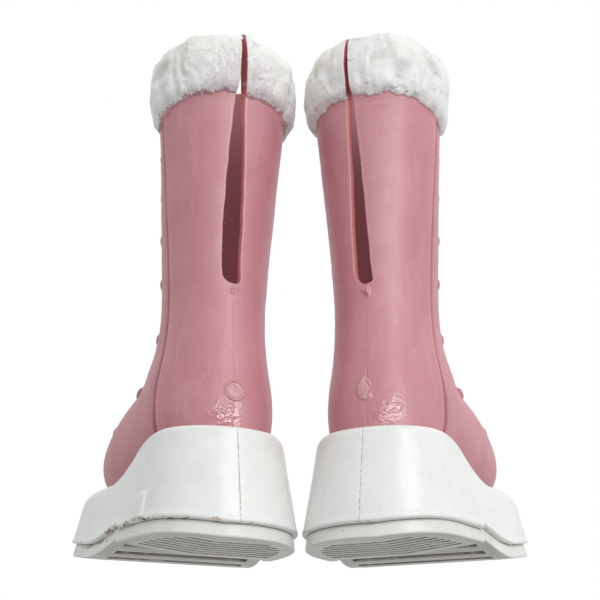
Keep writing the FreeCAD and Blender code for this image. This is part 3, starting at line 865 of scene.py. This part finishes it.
def cuff(side, flap):
    """Half of the fur-effect cuff: from the slit round to the middle of the front."""
    along = np.r_[0, np.cumsum(np.hypot(*np.diff(CUFF_PROFILE, axis=0).T))]
    profile = spline(along, CUFF_PROFILE)
    length = along[-1]
    v = np.arange(0, length, 0.15)[:, None]
    rz = profile(v[:, 0])
    step = profile(v[:, 0] + 0.01) - rz
    normal = np.stack([step[:, 1], -step[:, 0]], 1) / np.hypot(*step.T)[:, None]
    radius, z = rz[:, :1], rz[:, 1:]
    d = spaced(CUFF_ARC, 0.16, 0.05)[None, :]

    def turned(start):
        edge = BACK + start / radius
        return edge + (math.pi / 2 - edge) * (d / CUFF_ARC)

    trimmed = slit_edge(z, side, flap)
    turn, inner_turn = turned(trimmed), turned(trimmed - slit_slant(z, flap))
    seed = 40 + (side + 1) * 7
    around = turn * 11.0 * flap + (0 if flap > 0 else math.pi * 11.0)
    height = fur(around, z, seed)
    thin = smooth(v, 0, 0.9) * (1 - 0.8 * smooth(v, length - 1.4, length))
    beside_slit = bell(d, 4.0)
    lump = height * thin * (1 - 0.6 * beside_slit) - lip(d, 0.16) - 0.16 * beside_slit
    ragged = sum(size * noise2(around / pitch, z * 0 + row, seed + extra)
                 for size, pitch, row, extra in ((0.30, 1.7, 3, 9), (0.14, 0.55, 7, 10), (0.10, 0.25, 5, 11)))
    hang = -1.5 * bell(turn - 0.12, 0.42) * (flap > 0) * (1 - smooth(v, 0, 3.0))
    tip_height = 0.8 if side < 0 and flap < 0 else 0.3
    tip = tip_height * bell(d, 1.4) * smooth(v, length - 4, length - 1)
    r = radius + normal[:, :1] * lump
    zz = z + normal[:, 1:] * lump + ragged * (1 - smooth(v, 0, 1.2)) + hang + tip
    outer_points = rim_rise(np.stack([r * np.cos(turn) * flap, r * np.sin(turn), zz], -1))
    base = skin(travel_at_back(np.clip(zz, 60, RIM_Z)), inner_turn, 0.12)
    base_r = np.minimum(np.hypot(base[..., 0], base[..., 1]), r - 0.05)
    inner_points = rim_rise(np.stack([base_r * np.cos(inner_turn) * flap, base_r * np.sin(inner_turn),
                                      np.clip(zz, 60, RIM_Z - 0.1 + tip)], -1))
    points, faces = shell(outer_points, inner_points)
    values = fur_masks(side, flap, d, v, around, z, height, seed)
    values["hollow"] = values["hollow"] * thin
    attributes = both_skins(values, turn.shape)
    attributes["inside"].reshape(2, *turn.shape)[0, :, 0] = 1
    name, flap_name = BOOTS[side], FLAPS[flap]
    obj = build(f"{name}_{flap_name}_cuff_fur", points, faces, side, FUR, attributes, angle=60)
    fit(obj, (f"{name}_cuff_front", f"{name}_cuff_{flap_name}"))
    bent.append((obj, side, flap))


def rocker(y):
    """Height of the forefoot's underside above the ground."""
    arch_end, spring_start = BALL_Y - BALL_R * math.sin(ARCH_ANGLE), BALL_Y + BALL_R * math.sin(SPRING_ANGLE)
    inside = BALL_R - np.sqrt(np.maximum(BALL_R ** 2 - (y - BALL_Y) ** 2, 0))
    arch = BALL_R * (1 - math.cos(ARCH_ANGLE)) + (arch_end - y) * math.tan(ARCH_ANGLE)
    spring = BALL_R * (1 - math.cos(SPRING_ANGLE)) + (y - spring_start) * math.tan(SPRING_ANGLE)
    return np.where(y < arch_end, arch, np.where(y > spring_start, spring, inside))


def underside(xy):
    """Height of the treads' lower face; the heel's is flat, then rolls up on the outside."""
    heel_roll = np.maximum(xy[:, 0] - ROLL_X, 0) * ROLL_RISE
    return np.where(xy[:, 1] < ARCH_Y, heel_roll, rocker(xy[:, 1]))


def outline_curve(points):
    closed = np.concatenate([points, points[:1]])
    return spline(np.arange(len(closed)), closed, periodic=True)


def outline_steps():
    """Steps round the sole's outline, closer at the parting line and where the arch begins."""
    total = len(LOWER_OUTLINE)
    dense = np.linspace(0, total, 6000)
    crossing = dense[:-1][np.diff(np.sign(outline_curve(LOWER_OUTLINE)(dense)[:, 1] - ARCH_Y)) != 0]
    at_arch = [c + step for c in crossing for step in (-0.012, 0.012)]
    at_parting = [sign * step for sign in (-1, 1) for step in (0.01, 0.02, 0.032, 0.05)]
    extra = np.array(at_arch + at_parting) % total
    return np.unique(np.r_[np.arange(0, total, total / 300), extra])


def platform_wall(phi):
    """The tapered wall of the platform as a function of height, at steps phi round its outline."""
    low, high = outline_curve(LOWER_OUTLINE)(phi), outline_curve(UPPER_OUTLINE)(phi)
    return lambda z: low + (high - low) * (np.clip(z, 0, None) / OUTLINE_TOP_Z)[:, None]


def inward(at):
    """The direction from points of the outline to the middle of the sole."""
    direction = SOLE_MIDDLE - at
    return direction / np.hypot(*direction.T)[:, None]


def settled(wall, height, start):
    """The height at which the tapered wall meets a height that depends on the place."""
    for _ in range(4):
        start = height(wall(start))
    return start


def platform(side, name):
    """The deep white block under the foot, from the ledge above the tread plates to its rounded top edge."""
    top_edge = spline(TOP_EDGE[:, 0], TOP_EDGE[:, 1])
    phi = outline_steps()
    wall = platform_wall(phi)
    bottom = settled(wall, lambda xy: underside(xy) + PLATE, np.full(len(phi), 2.0))
    top = settled(wall, lambda xy: top_edge(xy[:, 1]), np.full(len(phi), 14.0))
    parting = bell(np.minimum(phi, len(LOWER_OUTLINE) - phi), 0.014)
    rings, above, part = [], [], []

    def ring(xy, z, edge, line=1.0):
        rings.append(np.column_stack([xy, z]))
        above.append(np.broadcast_to(edge, len(phi)))
        part.append(parting * line)

    across, forward = wall(top).T
    soft = 0.8 + 0.9 * smooth(forward, 4.0, 10.0) + 1.0 * (across < 0) * smooth(forward, -9, -4)
    for depth, rise in ((3.5, 0.0), (1.2, 0.0), (0.5, 0.0), (0.22, 0.02), (0.07, 0.08)):
        flat = wall(bottom)
        ring(flat + inward(flat) * depth, bottom + rise, 1.0)
    for share in np.r_[0, .012, .03, .055, np.linspace(0.09, 1.0, 34)]:
        z = bottom + 0.2 + (top - soft - bottom - 0.2) * share
        at = wall(z)
        wave = 0.05 * layered(np.column_stack([at, z]) / 5.0, 2, 51 + side)
        groove = 0.07 * parting * smooth(share, 0.0, 0.05)
        drip = 0.42 * smooth(z, 2.9, 3.4) * (1 - smooth(z, 6.2, 6.9)) * (side < 0)
        drip = drip * smooth(phi, 13.4, 14.4) * (1 - smooth(phi, 14.42, 14.53))
        welt = 0.10 * bell(z - bottom - 0.45, 0.28)
        depth = wave + groove - drip - welt
        ring(at + inward(at) * depth[:, None], z, bell(z - bottom - 0.2, 0.55))
    for angle in np.linspace(0.15, math.pi / 2, 7):
        z = top - soft + soft * math.sin(angle)
        at = wall(z)
        depth = soft * (1 - math.cos(angle)) + 0.05 * parting
        ring(at + inward(at) * depth[:, None], z, 0.0, 0.8)
    at = rings[-1][:, :2]
    for depth in (0.6, 1.4, 2.6, 4.5):
        ring(at + inward(at) * depth, top - 0.02 - 0.05 * depth, 0.0, 0.0)
    rings = np.array(rings)
    points, faces = lathe(rings)
    outside = smooth(rings[..., 0], 0, 8) if side < 0 else 0.25 + 0 * rings[..., 0]
    values = {"edge": np.array(above), "wear": outside * (rings[..., 1] < 6), "parting": np.array(part)}
    attributes = {k: np.concatenate([v.ravel(), [0, 0]]) for k, v in values.items()}
    obj = build(f"{name}_platform_block", points, faces, side, WHITE, attributes, angle=50)
    fit(obj, [f"{name}_platform"], f"{name}_boot")


def wall_reach(points):
    """How far the platform's wall stands from the middle of the sole, towards points and at their height."""
    angle = np.arctan2(points[:, 1] - SOLE_MIDDLE[1], points[:, 0] - SOLE_MIDDLE[0])
    reach = []
    for outline in (LOWER_OUTLINE, UPPER_OUTLINE):
        spoke = outline_curve(outline)(np.linspace(0, len(outline), 1200)) - SOLE_MIDDLE
        bearing = np.arctan2(spoke[:, 1], spoke[:, 0])
        reach.append(np.interp(angle, bearing, np.hypot(*spoke.T), period=2 * math.pi))
    return reach[0] + (reach[1] - reach[0]) * np.clip(points[:, 2], 0, None) / OUTLINE_TOP_Z


def tread_rim(side, name):
    """The rounded border of both tread plates, one closed ring under the platform's ledge."""
    phi = outline_steps()
    wall = platform_wall(phi)
    bottom = settled(wall, underside, np.zeros(len(phi)))
    corner = [(RIM_RADIUS * (1 - math.sin(a)), RIM_RADIUS * (1 - math.cos(a)))
              for a in np.linspace(0, math.pi / 2, 7)]
    profile = [(RIM_LAP + 0.6, 0.05), (RIM_LAP, 0.0), *corner, (0.0, 1.0), (0.0, 1.5), (0.05, 1.75),
               (0.2, 1.86), (RIM_LAP + 0.6, 1.86)]
    rings = []
    for inset, rise in profile:
        at = wall(bottom + rise)
        wave = 0.04 * layered(np.column_stack([at, bottom + rise]) / 4.0, 2, 61 + side)
        depth = TREAD_LEDGE + inset + wave
        rings.append(np.column_stack([at + inward(at) * depth[:, None], bottom + rise]))
    rings = np.array(rings)
    index = np.arange(rings.shape[0] * rings.shape[1]).reshape(rings.shape[:2])
    faces = quads(np.concatenate([index, index[:1]]), wrap=True)
    outer = {"outer": np.ones(rings.shape[:2])}
    obj = build(f"{name}_tread_rim", rings.reshape(-1, 3), faces, side, TREAD, outer, angle=50)
    fit(obj, body=f"{name}_boot")


def tread(side, name, node):
    """The ribbed middle of a tread plate, its sharp edges softened the way moulded edges are."""
    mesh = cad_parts[f"{name}_{node}"].data.copy()
    mesh.name = f"{name}_{node}_moulded"
    bm = bmesh.new()
    bm.from_mesh(mesh)
    bmesh.ops.remove_doubles(bm, verts=bm.verts, dist=0.002 * MM)
    points = unplace([v.co for v in bm.verts], side)
    spoke = points[:, :2] - SOLE_MIDDLE
    distance = np.hypot(*spoke.T)
    limit = wall_reach(points) - TREAD_LEDGE - RIM_LAP
    points[:, :2] = SOLE_MIDDLE + spoke * (np.minimum(distance, limit) / distance)[:, None]
    for vertex, at in zip(bm.verts, place(points, side)):
        vertex.co = at
    bm.normal_update()
    bm.to_mesh(mesh)
    bm.free()
    mesh.materials.clear()
    mesh.materials.append(TREAD)
    mesh.polygons.foreach_set("use_smooth", [True] * len(mesh.polygons))
    obj = add_object(mesh.name, mesh)
    bevel = obj.modifiers.new("round", "BEVEL")
    bevel.width = 0.13 * MM
    bevel.segments = 2
    bevel.limit_method = "ANGLE"
    bevel.angle_limit = math.radians(35)
    bevel.harden_normals = True
    fit(obj, [f"{name}_{node}"], f"{name}_boot")


def bend_ends(side, flap):
    """Where a quarter or cuff would start to bend, and where it would have fully turned with its flap;
    nothing here bends it.
    """
    cuff_radius, bend_width = 11.2, 4.5
    line_turn, pull_turn = math.radians(65), math.radians(40)
    head = np.array([flap * cuff_radius * math.sin(line_turn), -cuff_radius * math.cos(line_turn), RIM_Z])
    pull = np.array([flap * math.sin(pull_turn), -math.cos(pull_turn), 0])
    normal = np.cross(head - BEND_FOOT, pull)
    normal /= np.linalg.norm(normal)
    if normal @ (np.array([0, *STATIONS[0, :2]]) - BEND_FOOT) < 0:
        normal = -normal
    return place(BEND_FOOT, side)[0], place(BEND_FOOT + normal * bend_width, side)[0]


for side, name in BOOTS.items():
    vamp(side, name)
    for flap in FLAPS:
        quarter(side, flap)
        cuff(side, flap)
    lacing(side, name)
    platform(side, name)
    tread_rim(side, name)
    for node in ("heel_tread", "sole_tread"):
        tread(side, name, node)

for obj, side, flap in bent:
    start, end = bend_ends(side, flap)
    name = BOOTS[side]
    tuple(start)
    tuple(end)
    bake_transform(obj)


# ---------------- stage

def studio_floor():
    """Ground that shows only from above, so that the photo's view from below looks through it."""
    z = -0.0002
    mesh = bpy.data.meshes.new("floor")
    mesh.from_pydata([(-2, -2, z), (2, -2, z), (2, 2, z), (-2, 2, z)], [], [(0, 1, 2, 3)])
    floor = add_object("floor", mesh)
    g = Graph("floor")
    g.colour = (0.86, 0.86, 0.86)
    mesh.materials.append(g.finish(Roughness=0.6))
    from_below = g.node("NewGeometry", {}, "Backfacing")
    seen = g.node("MixShader", {0: from_below, 1: g.bsdf.outputs[0], 2: g.node("BsdfTransparent", {})})
    g.tree.links.new(seen, g.tree.nodes["Material Output"].inputs[0])
    for hidden_from in ("shadow", "diffuse", "glossy"):
        setattr(floor, f"visible_{hidden_from}", False)


def studio_world():
    """A white backdrop for the camera; other rays see light that grows upwards and to the right."""
    world = bpy.data.worlds.new("studio")
    world.use_nodes = True
    tree = world.node_tree
    backdrop = tree.nodes["Background"]
    backdrop.inputs[0].default_value = (1, 1, 1, 1)
    way = add_node(tree, "TexCoord", {}, "Generated")
    gradient = add_node(tree, "VectorMath", {0: way, 1: (0.13, 0.0, 0.40)}, "Value", operation="DOT_PRODUCT")
    level = add_node(tree, "Math", {0: gradient, 1: 0.85})
    surround = add_node(tree, "Background", {1: level})
    from_camera = add_node(tree, "LightPath", {}, "Is Camera Ray")
    chosen = add_node(tree, "MixShader", {0: from_camera, 1: surround, 2: backdrop.outputs[0]})
    tree.links.new(chosen, tree.nodes["World Output"].inputs[0])
    bpy.context.scene.world = world
    bpy.context.scene.view_settings.view_transform = "Standard"


def aim(obj, location, forward):
    obj.location = location
    obj.rotation_mode = "QUATERNION"
    obj.rotation_quaternion = forward.to_track_quat("-Z", "Y")


def softbox(name, location, size, power):
    """A round area light aimed at the middle of the boots."""
    light = bpy.data.lights.new(name, "AREA")
    light.shape = "DISK"
    light.size = size
    light.energy = power
    obj = add_object(name, light)
    aim(obj, location, Vector((0, -0.008, 0.036)) - Vector(location))
    return obj


def lights():
    """A key light, and two glints that only shine on the backs of the heels."""
    softbox("key", (0.20, -0.34, 0.20), 0.22, 0.56)
    shiny = bpy.data.collections.new("heel_backs")
    for obj, *_ in bent:
        if obj.name.endswith("quarter"):
            shiny.objects.link(obj)
    for name, location in (("glint_left", (0.03, -0.36, 0.02)), ("glint_right", (0.20, -0.30, 0.02))):
        glint = softbox(name, location, 0.10, 1.1)
        glint.visible_diffuse = False
        glint.light_linking.receiver_collection = shiny


def camera():
    """The photo's view: from behind, close and from below."""
    elevation, distance = math.radians(-22.5), 0.152
    target = Vector((0, SHAFT_Y * MM, 0.0362))
    data = bpy.data.cameras.new("camera")
    data.lens = 62.76
    data.clip_start = 0.01
    obj = add_object("camera", data)
    forward = Vector((0, math.cos(elevation), -math.sin(elevation)))
    aim(obj, target - forward * distance, forward)
    bpy.context.scene.camera = obj


studio_floor()
studio_world()
lights()
camera()
